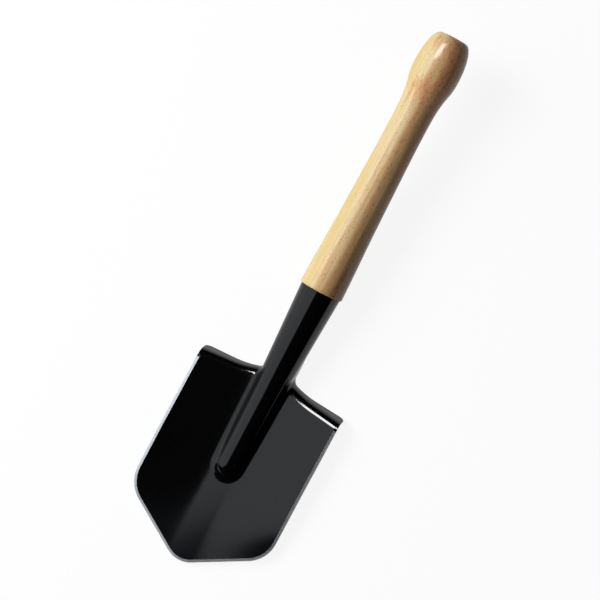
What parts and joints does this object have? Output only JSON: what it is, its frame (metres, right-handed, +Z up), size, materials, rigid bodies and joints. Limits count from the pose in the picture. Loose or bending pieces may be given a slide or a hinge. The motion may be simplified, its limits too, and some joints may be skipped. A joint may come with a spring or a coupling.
{
  "type": "camp shovel",
  "caption": "Short one-handed digging shovel: pointed dished steel blade with a hollow rib and rolled socket, on a turned wooden handle that ends in a knob.",
  "frame": {"origin": "under the middle of the shovel's length and width, on the floor that it lies on, back down", "axes": "+Y from the blade's point to the knob, +Z up, out of the blade's hollow front face, +X across the blade"},
  "size_m": [0.1424, 0.5197, 0.0671],
  "materials": {
    "black_enamel": "glossy black stove enamel over sheet steel, bare steel along the ground edge",
    "varnished_beech": "pale beech under clear satin varnish, grain along the handle",
    "screw_steel": "bright steel"
  },
  "bodies": {
    "root": {"shovel_head": "black_enamel", "handle": "varnished_beech", "socket_screws": "screw_steel"}
  },
  "joints": []
}
